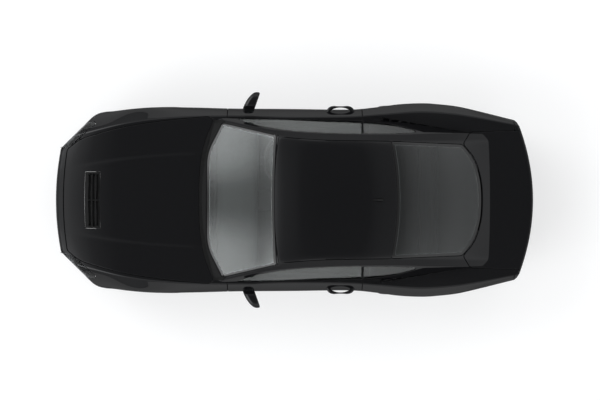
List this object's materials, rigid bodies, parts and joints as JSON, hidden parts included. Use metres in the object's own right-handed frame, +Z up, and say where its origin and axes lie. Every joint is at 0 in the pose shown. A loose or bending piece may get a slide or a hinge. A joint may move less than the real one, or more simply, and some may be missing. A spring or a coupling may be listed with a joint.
{
  "type": "muscle car",
  "caption": "Two-door fastback muscle car, black, with opening doors, bonnet and boot, steered front wheels and a full cabin.",
  "frame": {"origin": "on the ground at the middle of the overall length and width", "axes": "+X to the rear of the car, +Y to its right, +Z up"},
  "size_m": [4.8097, 2.1544, 1.3961],
  "materials": {
    "alloy": "satin machined",
    "black_trim": "satin black",
    "body_paint": "gloss black clearcoat",
    "cast_iron": "as cast",
    "chassis_steel": "satin underseal",
    "clear_glass": "tinted clear",
    "dash_plastic": "grained",
    "engine_alloy": "as cast",
    "exhaust_steel": "brushed",
    "lamp_lens": "clear lens",
    "red_lens": "red lens",
    "seat_leather": "grained",
    "tyre_rubber": "matt",
    "wheel_leather": "stitched",
    "white_plate": "blank plate"
  },
  "bodies": {
    "body": {"floor_pan": "chassis_steel", "roof_panel": "body_paint", "front_bumper": "body_paint", "rear_bumper": "body_paint", "grille": "black_trim", "headlamps": "lamp_lens", "tail_lamps": "red_lens", "number_plate": "white_plate", "windscreen": "clear_glass", "rear_window": "clear_glass", "quarter_glass": "clear_glass", "cowl_panel": "black_trim", "antenna_fin": "body_paint", "radiator": "engine_alloy", "engine": "engine_alloy", "front_subframe": "chassis_steel", "rear_axle": "cast_iron", "exhaust": "exhaust_steel", "rear_seat": "seat_leather", "parcel_shelf": "dash_plastic", "dashboard": "dash_plastic", "centre_console": "dash_plastic", "side_frame_right": "body_paint", "side_frame_left": "body_paint", "front_wing_right": "body_paint", "front_wing_left": "body_paint", "front_seat_right": "seat_leather", "front_seat_left": "seat_leather"},
    "bonnet_lid": {"bonnet": "body_paint", "bonnet_vent": "black_trim"},
    "boot": {"boot_lid": "body_paint"},
    "steering": {"steering_wheel": "wheel_leather"},
    "right_door": {"door_right": "body_paint", "door_glass_right": "clear_glass", "mirror_right": "body_paint"},
    "right_knuckle": {"knuckle_right": "cast_iron"},
    "front_wheel_right": {"front_tyre_right": "tyre_rubber", "front_rim_right": "alloy"},
    "rear_wheel_right": {"rear_tyre_right": "tyre_rubber", "rear_rim_right": "alloy"},
    "left_door": {"door_left": "body_paint", "door_glass_left": "clear_glass", "mirror_left": "body_paint"},
    "left_knuckle": {"knuckle_left": "cast_iron"},
    "front_wheel_left": {"front_tyre_left": "tyre_rubber", "front_rim_left": "alloy"},
    "rear_wheel_left": {"rear_tyre_left": "tyre_rubber", "rear_rim_left": "alloy"}
  },
  "joints": [
    {"name": "steer_right", "type": "hinge", "parent": "body", "child": "right_knuckle", "pos_m": [-1.525, 0.72, 0.2], "axis": [0, -0.2243, 0.9745], "range_deg": [-32, 32]},
    {"name": "spin_front_right", "type": "hinge", "parent": "right_knuckle", "child": "front_wheel_right", "pos_m": [-1.525, 0.776, 0.343], "axis": [0, 1, 0], "continuous": true},
    {"name": "spin_rear_right", "type": "hinge", "parent": "body", "child": "rear_wheel_right", "pos_m": [1.195, 0.82, 0.351], "axis": [0, 1, 0], "continuous": true},
    {"name": "door_right_hinge", "type": "hinge", "parent": "body", "child": "right_door", "pos_m": [-0.61, 0.905, 0.6], "axis": [0, 0, 1], "range_deg": [0, 68]},
    {"name": "steer_left", "type": "hinge", "parent": "body", "child": "left_knuckle", "pos_m": [-1.525, -0.72, 0.2], "axis": [0, 0.2243, 0.9745], "range_deg": [-32, 32]},
    {"name": "spin_front_left", "type": "hinge", "parent": "left_knuckle", "child": "front_wheel_left", "pos_m": [-1.525, -0.776, 0.343], "axis": [0, 1, 0], "continuous": true},
    {"name": "spin_rear_left", "type": "hinge", "parent": "body", "child": "rear_wheel_left", "pos_m": [1.195, -0.82, 0.351], "axis": [0, 1, 0], "continuous": true},
    {"name": "door_left_hinge", "type": "hinge", "parent": "body", "child": "left_door", "pos_m": [-0.61, -0.905, 0.6], "axis": [0, 0, -1], "range_deg": [0, 68]},
    {"name": "bonnet_hinge", "type": "hinge", "parent": "body", "child": "bonnet_lid", "pos_m": [-0.822, 0, 0.92], "axis": [0, 1, 0], "range_deg": [0, 55]},
    {"name": "boot_hinge", "type": "hinge", "parent": "body", "child": "boot", "pos_m": [1.716, 0, 1.08], "axis": [0, -1, 0], "range_deg": [0, 75]},
    {"name": "steering_column", "type": "hinge", "parent": "body", "child": "steering", "pos_m": [-0.205, 0.4, 0.86], "axis": [0.9063, 0, 0.4226], "range_deg": [-480, 480]}
  ],
  "couplings": [
    {"joint": "steer_left", "follows": "steer_right", "ratio": 1},
    {"joint": "steering_column", "follows": "steer_right", "ratio": 15}
  ]
}
